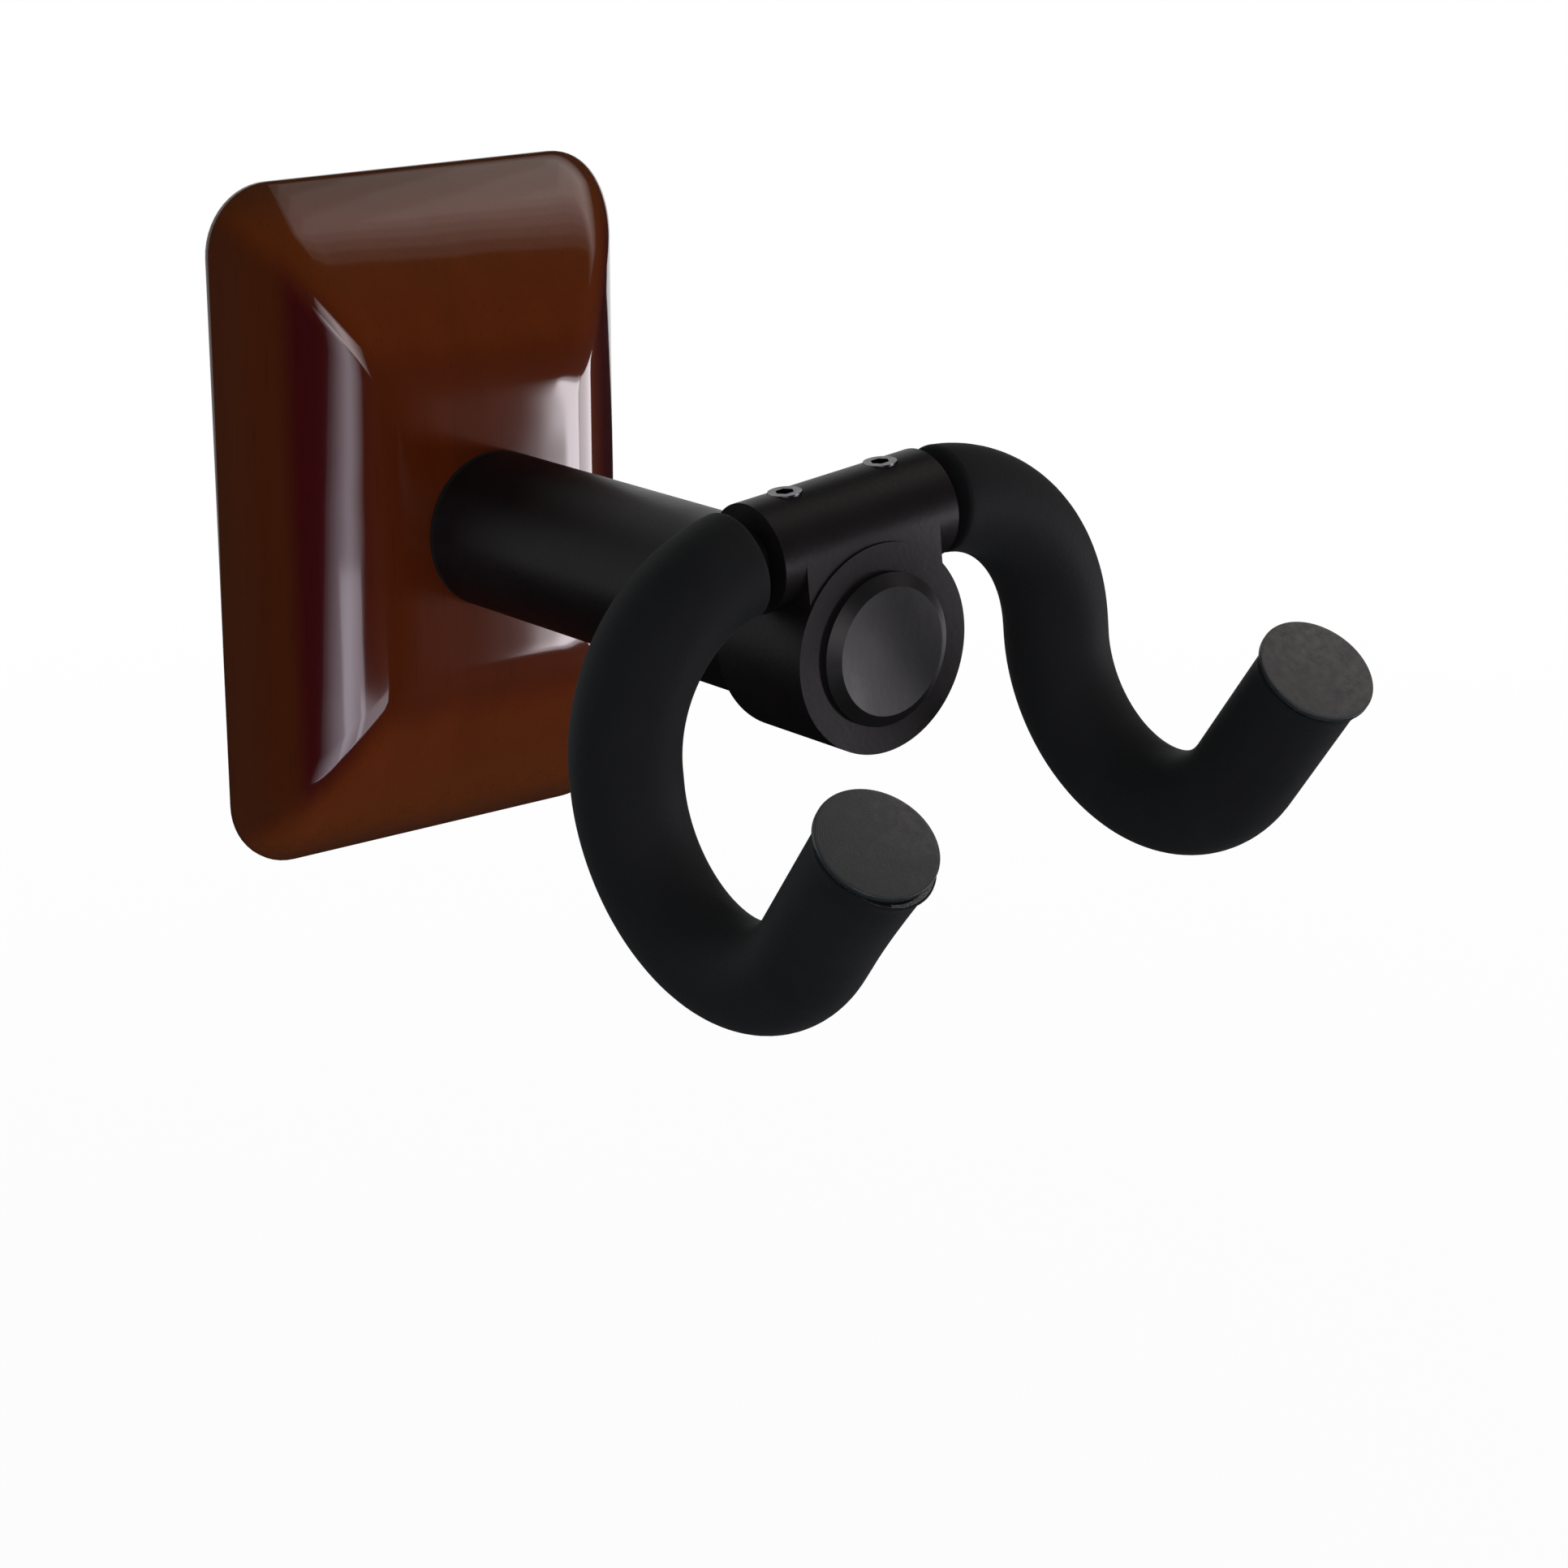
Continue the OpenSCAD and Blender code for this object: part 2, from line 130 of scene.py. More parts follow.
# The slopes are a superellipse: at the share s of their width they stand at the share
# (1 - (1 - s)^fullness)^(1 / fullness) of their height. Sanding has softened the line where they
# meet the field: there the height is a weighted mean over soft_share to either side, which sets in
# from the share soft_from and is full from soft_full.
soft_share, soft_from, soft_full = 0.25, 0.25, 0.60
per_unit = 400
share = np.linspace(0, 2, 2 * per_unit + 1)
rise = (1 - np.clip(1 - share, 0, 1) ** fullness) ** (1 / fullness)
weight = (1 - np.linspace(-1, 1, int(2 * soft_share * per_unit) + 1) ** 2) ** 2
sanded = np.convolve(rise, weight / weight.sum(), mode="same")
softness = np.clip((share - soft_from) / (soft_full - soft_from), 0, 1)
height = np.where(share < 1 + soft_share, rise * (1 - softness) + sanded * softness, 1.0)

# Each row is half width, half height, corner radius and y: the recess for the plate, two rings
# that keep the back flat, and the eased edge of the back.
recess_gap, recess_r = 0.1, 0.3
rows = [(plate_w / 2 + recess_gap, plate_h / 2 + recess_gap, recess_r, y) for y in (-plate_t, 0.0)]
rows += [(block_w / 2 - inset, block_h / 2 - inset, corner_r - inset, 0.0) for inset in (1.2, 0.8)]
for a in np.linspace(0, pi / 2, 5):
    ease = back_ease * (1 - sin(a))
    rows.append((block_w / 2 - ease, block_h / 2 - ease, corner_r - ease, back_ease * (cos(a) - 1)))

# Then the slopes, with rows closest together at the outline, where they are steepest, and evenly
# spaced from the share even_from. The corners tighten into soft mitres by the share mitred_at. Four
# rings close the field.
even_from, mitred_at, tightening = 0.62, 0.5, 1.3
low_shares = 1 - np.cos(np.linspace(0, 1.15, 26))
high_shares = np.linspace(even_from, 1 + soft_share, 30)
for s in np.concatenate([low_shares, high_shares]):
    roundness = max(0.0, 1 - s / mitred_at) ** tightening
    rows.append((block_w / 2 - side_slope_w * s, block_h / 2 - end_slope_w * s,
                 mitre_r + (corner_r - mitre_r) * roundness,
                 -edge_t - (block_t - edge_t) * np.interp(s, share, height)))
field_w, field_h = rows[-1][:2]
rows += [(field_w * k, field_h * k, mitre_r * k, -block_t) for k in (0.85, 0.6, 0.35, 0.12)]
rings = np.array([round_cornered(*row) for row in rows])
wood_block = new_piece("lacquered_block", rings, crease=50)


def disc_ring(x, z, radius, y, points=48):
    """A ring of points on a circle in the plane y."""
    a = np.linspace(0, 2 * pi, points, endpoint=False)
    return np.stack([x + radius * np.cos(a), np.full_like(a, y), z + radius * np.sin(a)], -1)


def slot_ring(z, radius, reach, y, points=48):
    """A ring in the plane y round an upright slot: two half circles, their centres 2 x reach
    apart."""
    a = np.linspace(0, 2 * pi, points, endpoint=False) + pi / points
    up = z + reach * np.sign(np.sin(a))
    return np.stack([radius * np.cos(a), np.full_like(a, y), up + radius * np.sin(a)], -1)


def bored(piece, cutters):
    """Takes the cutters out of the piece and bakes the result into its mesh."""
    for cutter in cutters:
        cut = piece.modifiers.new("cut", "BOOLEAN")
        cut.operation = "DIFFERENCE"
        cut.solver = "EXACT"
        cut.object = cutter
    depsgraph = bpy.context.evaluated_depsgraph_get()
    shaped = bpy.data.meshes.new_from_object(piece.evaluated_get(depsgraph))
    shaped.name = piece.name
    piece.modifiers.clear()
    piece.data = shaped
    for cutter in cutters:
        bpy.data.objects.remove(cutter)


# Behind the plate: a pocket behind each keyhole for the head of the screw that the hanger hangs
# on, a pilot hole for each plate screw, and a stepped bore for the post's bolt. Each cutter starts
# clear of the back.
clear = 1
pocket_r, pocket_reach, pocket_depth = 5.5, 3.5, 5
keyhole_inset, screw_inset = 11, 5
keyhole_z = plate_h / 2 - keyhole_inset
pilot_r, pilot_depth = 1.8, 9
screw_x, screw_z = plate_w / 2 - screw_inset, plate_h / 2 - screw_inset
head_bore_r, shank_bore_r, seat_t = 9, 4.25, 5.5
washer_y = seat_t - block_t
cutters = [new_piece("cutter", np.array([slot_ring(z, pocket_r, pocket_reach, y)
                                         for y in (clear, -plate_t - pocket_depth)]))
           for z in (keyhole_z, -keyhole_z)]
cutters += [new_piece("cutter", np.array([disc_ring(x, z, pilot_r, y, 20)
                                          for y in (clear, -plate_t - pilot_depth)]))
            for x in (screw_x, -screw_x) for z in (screw_z, -screw_z)]
bolt_bore = [(head_bore_r, clear), (head_bore_r, washer_y),
             (shank_bore_r, washer_y), (shank_bore_r, -block_t - clear)]
cutters += [new_piece("cutter", np.array([disc_ring(0, 0, r, y) for r, y in bolt_bore]))]
bored(wood_block, cutters)


def node_adder(tree):
    """A function that adds a node to the tree, with values on its sockets and other sockets
    joined to it."""
    def add(kind, values=None, joins=None, **settings):
        node = tree.nodes.new(kind)
        for key, value in settings.items():
            setattr(node, key, value)
        for key, value in (values or {}).items():
            node.inputs[key].default_value = value
        for key, socket in (joins or {}).items():
            tree.links.new(socket, node.inputs[key])
        return node

    return add


def finish(name, values):
    """A new material with its Principled shader, and the values on the shader's own sockets.
    Returns the material, a function that adds a node to it, and one that joins a node's output
    to a socket of the shader."""
    material = bpy.data.materials.new(name)
    material.use_nodes = True
    tree = material.node_tree
    shader = tree.nodes["Principled BSDF"]
    for key, value in values.items():
        shader.inputs[key].default_value = value

    def join(socket, key):
        tree.links.new(socket, shader.inputs[key])

    return material, node_adder(tree), join


def own_place(add):
    """Object coordinates, in metres."""
    return add("ShaderNodeTexCoord").outputs["Object"]


def stretched(add, scale):
    """Object coordinates stretched by the scale on each axis."""
    return add("ShaderNodeMapping", {"Scale": scale}, {"Vector": own_place(add)}).outputs[0]


def noise(add, vector, scale, detail, **more):
    """Fractal noise over the vector, mostly between 0.3 and 0.7."""
    node = add("ShaderNodeTexNoise", {"Scale": scale, "Detail": detail, **more}, {"Vector": vector})
    return node.outputs["Fac"]


def spread(add, value, start, end, low=0.0, high=1.0, curve="LINEAR"):
    """The value, carried from the span low to high onto the span start to end."""
    spans = {"From Min": low, "From Max": high, "To Min": start, "To Max": end}
    return add("ShaderNodeMapRange", spans, {"Value": value}, interpolation_type=curve).outputs[0]


def maths(add, operation, first, second=None):
    """One sum on one or two sockets."""
    joins = {0: first} if second is None else {0: first, 1: second}
    return add("ShaderNodeMath", None, joins, operation=operation).outputs[0]


def ramp(add, factor, stops, interpolation="LINEAR"):
    """A colour ramp over the factor, from stops of (place, (r, g, b))."""
    node = add("ShaderNodeValToRGB", None, {"Fac": factor})
    node.color_ramp.interpolation = interpolation
    while len(node.color_ramp.elements) < len(stops):
        node.color_ramp.elements.new(0.5)
    for element, (place, colour) in zip(node.color_ramp.elements, stops):
        element.position = place
        element.color = (*colour, 1)
    return node.outputs["Color"]


def relief(add, height, strength, depth):
    """The surface's normal with the height as its relief. depth is in metres, and strength from 0
    to 1."""
    node = add("ShaderNodeBump", {"Strength": strength, "Distance": depth}, {"Height": height})
    return node.outputs[0]


def lacquered_mahogany():
    """Stained mahogany under gloss lacquer. The colour follows the share of the slope from the
    outline, (half width - |x|) / slope width on the sides and the same with z above and below,
    and changes from one to the other where the two shares are equal. On the side slopes it carries
    painted shade and reflection: darker than the ends, with a maroon band where the lacquer
    mirrors dark surroundings. The back is plain. Long faint figure and short pores run up the
    block."""
    material, add, join = finish("lacquered_mahogany", {
        "Roughness": 0.5, "Specular IOR Level": 0.02,
        "Coat Weight": 0.9, "Coat IOR": 1.5, "Coat Roughness": 0.06,
    })
    place = own_place(add)
    axes = add("ShaderNodeSeparateXYZ", None, {0: place}).outputs
    side_share = spread(add, maths(add, "ABSOLUTE", axes["X"]), 0, 1,
                        low=block_w / 2 * mm, high=(block_w / 2 - side_slope_w) * mm)
    end_share = spread(add, maths(add, "ABSOLUTE", axes["Z"]), 0, 1,
                       low=block_h / 2 * mm, high=(block_h / 2 - end_slope_w) * mm)
    # Painted shade and reflection: the side slopes darker than the ends, with a dark maroon band
    # from share 0.42 to 0.58 where the lacquer mirrors dark surroundings.
    side_stain_and_shade = ramp(add, side_share, [
        (0.0, (0.0455, 0.0114, 0.0039)),
        (0.28, (0.0463, 0.0092, 0.0014)),
        (0.42, (0.0350, 0.0014, 0.0019)),
        (0.58, (0.0368, 0.0016, 0.0019)),
        (0.90, (0.0559, 0.0087, 0.0014)),
    ], "EASE")
    on_end = ramp(add, end_share, [
        (0.0, (0.0542, 0.0149, 0.0039)),
        (0.25, (0.0752, 0.0162, 0.0023)),
        (0.75, (0.0752, 0.0140, 0.0018)),
        (1.0, (0.0594, 0.0101, 0.0016)),
    ], "EASE")
    # A colour Mix node has its two colours on sockets 6 and 7, and their mix on output 2.
    apart = maths(add, "SUBTRACT", side_share, end_share)
    at_end = spread(add, apart, 0, 1, low=-0.20, high=0.12, curve="SMOOTHSTEP")
    face = add("ShaderNodeMix", None, {0: at_end, 6: side_stain_and_shade, 7: on_end}, data_type="RGBA")
    behind = spread(add, axes["Y"], 0, 1, low=-edge_t * mm, high=-0.2 * mm, curve="SMOOTHSTEP")
    plain_back = (0.046, 0.0115, 0.0030, 1)
    stain_and_shade = add("ShaderNodeMix", {7: plain_back}, {0: behind, 6: face.outputs[2]},
                data_type="RGBA").outputs[2]
    figure = noise(add, stretched(add, (150, 150, 9)), scale=1.0, detail=4.0,
                   Roughness=0.55, Distortion=0.6)
    pores = noise(add, stretched(add, (2600, 2600, 130)), scale=1.0, detail=2.0)
    for tone in (spread(add, figure, 0.84, 1.18),
                 spread(add, pores, 1.0, 0.82, low=0.60, high=0.72)):
        toned = add("ShaderNodeVectorMath", None, {0: stain_and_shade, "Scale": tone}, operation="SCALE")
        stain_and_shade = toned.outputs[0]
    join(stain_and_shade, "Base Color")
    wavy = relief(add, noise(add, place, scale=70.0, detail=1.0), strength=0.055, depth=0.0008)
    join(wavy, "Coat Normal")
    join(wavy, "Normal")
    return material


wood_block.data.materials.clear()
wood_block.data.materials.append(lacquered_mahogany())
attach(wood_block, "wall_side")
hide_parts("wood_block")


# ---- Wall plate and its screws --------------------------------------------------------------
# A flat steel plate with two keyholes, punched and zinc plated, let into the back of the block
# flush with the wood and held by four cross-head countersunk wood screws.

def times(colour, factor):
    """The colour, lighter or darker by the factor."""
    return tuple(factor * c for c in colour)


def plated_steel(name, colour, roughness, scratch):
    """Bare or plated steel: metal whose roughness varies along fine scratches, drawn out on one
    axis by the scale scratch, with a slight mottle in its colour."""
    material, add, join = finish(name, {"Metallic": 1.0})
    mottle = noise(add, own_place(add), scale=450.0, detail=4.0)
    join(ramp(add, mottle, [(0.3, times(colour, 0.82)), (0.7, colour)]), "Base Color")
    scratches = noise(add, stretched(add, scratch), scale=1.0, detail=3.0)
    join(spread(add, scratches, roughness * 0.75, roughness * 1.35), "Roughness")
    join(relief(add, scratches, strength=0.12, depth=0.0002), "Normal")
    return material


def dressed(node, material):
    """Gives a CAD node its finish."""
    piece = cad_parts[node]
    piece.data.materials.clear()
    piece.data.materials.append(material)


dressed("wall_plate", plated_steel("zinc_plate", (0.56, 0.57, 0.58), 0.34, (4000, 4000, 120)))
dressed("plate_screws",
        plated_steel("yellow_zinc_screws", (0.58, 0.50, 0.34), 0.30, (900, 900, 900)))


# ---- Post bolt and its washers --------------------------------------------------------------
# An M8 hexagon bolt with a flat washer and a split spring washer. It comes from behind through
# the block and pulls the post against the field; the wall plate covers its head.

dressed("post_bolt", plated_steel("bolt_steel", (0.45, 0.46, 0.47), 0.32, (300, 4000, 300)))
dressed("post_bolt_washer",
        plated_steel("washer_steel", (0.55, 0.56, 0.57), 0.30, (2500, 200, 2500)))
dressed("post_lock_washer",
        plated_steel("spring_steel", (0.24, 0.24, 0.25), 0.36, (1800, 600, 1800)))


# ---- Gasket, post and plugs -----------------------------------------------------------------
# The post is a steel tube, powder coated satin black, on a thin rubber gasket. A steel plug is
# pressed into each end; the front one has a flange of the post's own diameter.

def satin_black(name, colour=(0.0052, 0.0042, 0.0048), roughness=0.40):
    """Black powder coat: a fine orange peel in the surface, and a soft cloudiness in its gloss and
    its shade."""
    material, add, join = finish(name, {"Specular IOR Level": 0.14})
    place = own_place(add)
    peel = noise(add, place, scale=1500.0, detail=2.0)
    join(relief(add, peel, strength=0.18, depth=0.00012), "Normal")
    cloud = noise(add, place, scale=110.0, detail=4.0)
    join(spread(add, cloud, roughness - 0.06, roughness + 0.08), "Roughness")
    join(ramp(add, cloud, [(0.3, colour), (0.75, times(colour, 1.35))]), "Base Color")
    return material


def black_rubber(name, colour, roughness=0.7, grain=2600.0, specular=0.25):
    """Moulded rubber or plastic: nearly black, with a fine even grain and a faint bloom in
    patches."""
    material, add, join = finish(name, {"Specular IOR Level": specular})
    place = own_place(add)
    bloom = noise(add, place, scale=140.0, detail=5.0)
    join(ramp(add, bloom, [(0.35, times(colour, 0.86)), (0.7, colour)]), "Base Color")
    skin = noise(add, place, scale=grain, detail=2.0)
    join(relief(add, skin, strength=0.2, depth=0.0001), "Normal")
    join(spread(add, bloom, roughness - 0.08, roughness + 0.08), "Roughness")
    return material


dressed("post_gasket", black_rubber("gasket_rubber", (0.010, 0.010, 0.010)))
dressed("post_tube", satin_black("post_black"))
dressed("front_plug", satin_black("flange_black"))
dressed("rear_plug", plated_steel("plug_steel", (0.40, 0.40, 0.41), 0.33, (200, 5000, 200)))


# ---- Swivel ---------------------------------------------------------------------------------
# A shoulder screw in the front plug carries the yoke on a flanged bronze bushing, between a white
# nylon thrust washer and a wave spring. A hardened pin in the plug's flange stops the turn.

def moulded_nylon():
    """Natural nylon: off white, slightly translucent, with faint flow marks."""
    material, add, join = finish("natural_nylon", {"Subsurface Weight": 0.15,
                                                   "Subsurface Scale": 0.001})
    flow = noise(add, stretched(add, (260, 900, 260)), scale=1.0, detail=3.0, Distortion=1.0)
    join(ramp(add, flow, [(0.3, (0.66, 0.62, 0.54)), (0.7, (0.76, 0.73, 0.66))]), "Base Color")
    join(relief(add, flow, strength=0.1, depth=0.0001), "Normal")
    join(spread(add, flow, 0.36, 0.5), "Roughness")
    return material


dressed("thrust_washer", moulded_nylon())
dressed("stop_pin", plated_steel("ground_pin_steel", (0.62, 0.62, 0.63), 0.18, (3000, 120, 3000)))
dressed("pivot_screw",
        plated_steel("black_oxide_screw", (0.10, 0.10, 0.11), 0.34, (260, 4200, 260)))
dressed("pivot_bushing",
        plated_steel("sintered_bronze", (0.50, 0.30, 0.13), 0.40, (1200, 1200, 1200)))
dressed("wave_washer",
        plated_steel("wave_spring_steel", (0.50, 0.50, 0.52), 0.24, (1500, 300, 1500)))


# ---- Yoke hub and its cover -----------------------------------------------------------------
# An iron casting that turns on the post: a round boss in one with the barrel above it that takes
# the rod, blended together and powder coated like the post. A plastic cover snaps into its front.

dressed("yoke_hub", satin_black("hub_black", (0.0056, 0.0048, 0.0052), 0.42))
dressed("hub_cap", black_rubber("cover_plastic", (0.0075, 0.0075, 0.0080), 0.38, 900.0, 0.35))


# ---- Rod and grub screws --------------------------------------------------------------------
# One steel rod, bent to shape, crosses the hub through the barrel, comes down on both sides and
# ends in two hooks. Two socket grub screws lock it. Only short lengths show beside the barrel.

dressed("yoke_rod", satin_black("rod_black", (0.0060, 0.0060, 0.0065), 0.38))
dressed("rod_grub_screws",
        plated_steel("grub_screw_steel", (0.09, 0.09, 0.10), 0.32, (900, 900, 900)))


# ---- Foam sleeves ---------------------------------------------------------------------------
# Closed-cell foam rubber tubes with a smooth moulded skin, slid over both arms from beside the hub
# to the end caps. They are cut square at the hub, and bunch very slightly inside the hooks.

tilt = radians(6)
rod_d = 7.0
shoulder_r = 20.0
drop_l = 1.5
hook_r = 17.5
hook_turn = radians(90 + 52)
front_leg_l = 19.5
barrel_x = 13.0
rod_rise = 13.0
rod_forward = 0.75
rod_y = (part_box("yoke_hub")[1].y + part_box("yoke_hub")[0].y) / 2 / mm - rod_forward
shoulder_end = shoulder_r * pi / 2
hook_start = shoulder_end + drop_l
leg_start = hook_start + hook_r * hook_turn
cap_face = leg_start + front_leg_l
foam_r = 6.4
low_side = 0.6


def along_arm(s):
    """The right arm's centreline by arc length s from the barrel, untilted: a quarter turn down in
    the plane of the yoke, a short drop, a bend forwards and up, and a straight leg. Each stretch
    adds its own displacement, with s clipped to it. Returns the centre, two unit vectors across
    the arm, u in the plane of the bend in the hook and v = X there, and the angle of that bend."""
    a = np.clip(s, 0, shoulder_end) / shoulder_r
    drop = np.clip(s - shoulder_end, 0, drop_l)
    b = np.clip(s - hook_start, 0, hook_r * hook_turn) / hook_r
    leg = np.maximum(s - leg_start, 0)
    zero = np.zeros_like(s)
    centre = np.stack([barrel_x + shoulder_r * np.sin(a),
                       rod_y + hook_r * (np.cos(b) - 1) - leg * sin(hook_turn),
                       rod_rise + shoulder_r * (np.cos(a) - 1) - drop - hook_r * np.sin(b)
                       - leg * cos(hook_turn)], -1)
    in_shoulder = (s < shoulder_end)[..., None]
    u = np.where(in_shoulder, np.stack([zero, zero + 1, zero], -1),
                 np.stack([zero, np.cos(b), -np.sin(b)], -1))
    v = np.where(in_shoulder, np.stack([np.sin(a), zero, np.cos(a)], -1),
                 np.stack([zero + 1, zero, zero], -1))
    return centre, u, v, b


def turned_on_post(points):
    """Points turned with the yoke about the axis of the post, right arm up."""
    x, y, z = points[..., 0], points[..., 1], points[..., 2]
    return np.stack([x * cos(tilt) - z * sin(tilt), y, x * sin(tilt) + z * cos(tilt)], -1)


def faces_down(p, side, power):
    """How far the angle p round a front leg faces down and towards +X, from 0 to 1:
    ((1 + cos(p - side x low_side)) / 2)^power."""
    return (0.5 + 0.5 * np.cos(p - side * low_side)) ** power


def carried_along(profile, side, around, bunch=0.0, swell=0.0, swell_l=14.0):
    """A profile carried along the arm: rows of (s, r) become rings C(s) + r (cos p u + sin p v).
    On a sleeve the skin, but not the bore, is pressed in by up to bunch inside the hook, and over
    the last swell_l it swells on one side by up to swell. side is 1 for the right arm and -1 for
    the left."""
    s, r = np.array(profile, float).T
    centre, u, v, b = along_arm(s)
    p = np.linspace(0, 2 * pi, around, endpoint=False)
    inner = 0.5 + 0.5 * np.cos(p + pi)
    pressed = bunch * np.sin(np.clip(b / hook_turn, 0, 1) * pi)[:, None] * inner ** 2
    near_end = np.clip((s - s.max() + swell_l) / swell_l, 0, 1)[:, None]
    swollen = swell * near_end ** 1.5 * faces_down(p, side, 2)
    on_skin = r[:, None] > foam_r * 0.8
    radius = (r[:, None] + (swollen - pressed) * on_skin)[..., None]
    across = np.cos(p)[None, :, None] * u[:, None] + np.sin(p)[None, :, None] * v[:, None]
    return turned_on_post((centre[:, None] + radius * across) * np.array([side, 1, 1]))


def foam_skin():
    """Skinned closed-cell foam: dull black, a fine irregular cell texture under the skin, slight
    rubbed patches, and a soft sheen at glancing angles."""
    material, add, join = finish("foam_skin", {
        "Specular IOR Level": 0.09, "Sheen Weight": 0.03, "Sheen Roughness": 0.45,
        "Sheen Tint": (0.75, 0.85, 0.85, 1),
    })
    place = own_place(add)
    rubbed = noise(add, place, scale=90.0, detail=5.0, Roughness=0.6)
    join(ramp(add, rubbed, [(0.3, (0.0060, 0.0066, 0.0072)), (0.75, (0.0080, 0.0088, 0.0094))]),
         "Base Color")
    join(spread(add, rubbed, 0.62, 0.78), "Roughness")
    cells = add("ShaderNodeTexVoronoi", {"Scale": 2400.0}, {"Vector": place}).outputs["Distance"]
    ripple = noise(add, place, scale=420.0, detail=3.0)
    height = add("ShaderNodeMath", {1: 0.6}, {0: cells, 2: ripple}, operation="MULTIPLY_ADD")
    join(relief(add, height.outputs[0], strength=0.22, depth=0.00012), "Normal")
    return material


def cut_foam():
    """The open cells where the sleeve was cut: lighter grey, torn and a little shiny."""
    material, add, join = finish("cut_foam", {"Roughness": 0.42})
    place = own_place(add)
    cells = add("ShaderNodeTexVoronoi", {"Scale": 5200.0}, {"Vector": place}).outputs["Distance"]
    join(ramp(add, cells, [(0.1, (0.034, 0.036, 0.037)), (0.6, (0.200, 0.209, 0.213))]),
         "Base Color")
    torn = noise(add, place, scale=3200.0, detail=4.0)
    join(relief(add, torn, strength=0.7, depth=0.00025), "Normal")
    return material


bare_turn = radians(6)
foam_start = shoulder_r * bare_turn
flange_t = 0.8
lip_gap = 0.45
foam_end = cap_face - flange_t - lip_gap
cut_r = 0.5
lip_flare, lip_r = 0.28, 0.25
bore_r = rod_d / 2 + 0.05
stem_r = rod_d / 2 + 1.3
stem_l = 8
foam_around = 64

# The rod stays bare for bare_turn of the shoulder. The sleeve's section in rows of (s, r): square
# end at the hub, skin, and flared front lip. From torn_row on, the torn edge, a bevel, and the
# hollow that takes the cap's stem, back to the bore.
eased = np.linspace(0, pi / 2, 6)
foam_profile = [(foam_start, bore_r), (foam_start, (bore_r + foam_r) / 2)]
foam_profile += [(foam_start + cut_r * (1 - cos(a)), foam_r - cut_r * (1 - sin(a))) for a in eased]
foam_profile += [(s, foam_r) for s in np.linspace(foam_start + 1.5, foam_end - 1.5, 110)]
foam_profile += [(foam_end - 0.8, foam_r + lip_flare * 0.45)]
foam_profile += [(foam_end - lip_r * (1 - sin(a)), foam_r + lip_flare - lip_r * (1 - cos(a)))
                 for a in eased]
torn_row = len(foam_profile) - 1
foam_profile += [(foam_end - 0.05, foam_r - 0.05), (foam_end - 0.30, foam_r - 0.5)]
foam_profile += [(foam_end - 0.6, stem_r + 0.3), (foam_end - 0.6, stem_r + 0.05)]
foam_profile += [(foam_end - stem_l, stem_r + 0.05), (foam_end - stem_l, bore_r)]
foam_profile += [(s, bore_r) for s in np.linspace(foam_end - stem_l - 1, foam_start + 1, 60)]

# The front end was cut by hand: over its last 3 mm the sleeve leans back by up to slant on one
# side of the leg, and its edge wanders a little. The bevel is torn too where it leans most.
slant_l = 3.0
along_leg = turned_on_post(np.array([0, -sin(hook_turn), -cos(hook_turn)]))
leaning_rows = np.clip((np.array(foam_profile)[:, 0] - foam_end + slant_l) / slant_l, 0, 1)[:, None]
round_leg = np.linspace(0, 2 * pi, foam_around, endpoint=False)
wander = 0.06 * np.sin(5 * round_leg) + 0.04 * np.sin(11 * round_leg + 1)
foam, cut = foam_skin(), cut_foam()
for side, name, slant, swell in ((1, "right", 0.2, 0.0), (-1, "left", 0.95, 0.8)):
    leaning = faces_down(round_leg, side, 3)
    back = leaning_rows * (slant * leaning + wander)
    rings = carried_along(foam_profile, side, foam_around, bunch=0.35, swell=swell)
    rings -= back[..., None] * along_leg
    sleeve = new_piece(name + "_sleeve", rings, "joined", 60)
    sleeve.data.materials.append(foam)
    sleeve.data.materials.append(cut)
    is_cut = np.zeros((len(foam_profile), foam_around), np.int32)
    is_cut[torn_row] = 1
    is_cut[torn_row + 1] = leaning > 0.6
    sleeve.data.polygons.foreach_set("material_index", is_cut.ravel())
    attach(sleeve, "yoke")
    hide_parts(name + "_foam_sleeve")


# ---- End caps -------------------------------------------------------------------------------
# Rubber buttons with a round flange a little wider than the foam. Their hollow stem is pushed over
# the rod's end inside the sleeve. The face is plain, with fine rings from the turning of the mould.

def turned_rubber():
    """Dark grey rubber with fine concentric rings that show in patches: a sine of the distance
    from the cap's middle, which the mesh carries as the attribute turning. Fine scuffs vary its
    shade and gloss."""
    material, add, join = finish("cap_rubber", {"Specular IOR Level": 0.54})
    place = own_place(add)
    radius = add("ShaderNodeAttribute", attribute_name="turning").outputs["Fac"]
    ring_pitch = 0.19
    rings = add("ShaderNodeMath", {1: 2 * pi / ring_pitch}, {0: radius}, operation="MULTIPLY")
    patches = spread(add, noise(add, place, scale=330.0, detail=4.0), 0, 1, low=0.42, high=0.68)
    marks = maths(add, "MULTIPLY", maths(add, "SINE", rings.outputs[0]), patches)
    grain = noise(add, place, scale=2200.0, detail=3.0)
    height = add("ShaderNodeMath", {1: 1.6}, {0: grain, 2: marks}, operation="MULTIPLY_ADD")
    join(relief(add, height.outputs[0], strength=0.12, depth=0.00006), "Normal")
    scuffs = noise(add, place, scale=900.0, detail=5.0, Roughness=0.6)
    join(ramp(add, scuffs, [(0.3, (0.0108, 0.0155, 0.0164)), (0.72, (0.0162, 0.0232, 0.0244))]),
         "Base Color")
    join(spread(add, scuffs, 0.34, 0.50, low=0.3, high=0.7), "Roughness")
    return material


cap_r = 7.0
cap_edge = 0.10
crown = 0.12
cap_around = 96
mouth_ease, fillet, flange_ease = 0.4, 0.3, 0.1
stem_floor = cap_face - 1.8
stem_end = stem_floor - stem_l
flange_back = cap_face - flange_t
rim = cap_face - crown

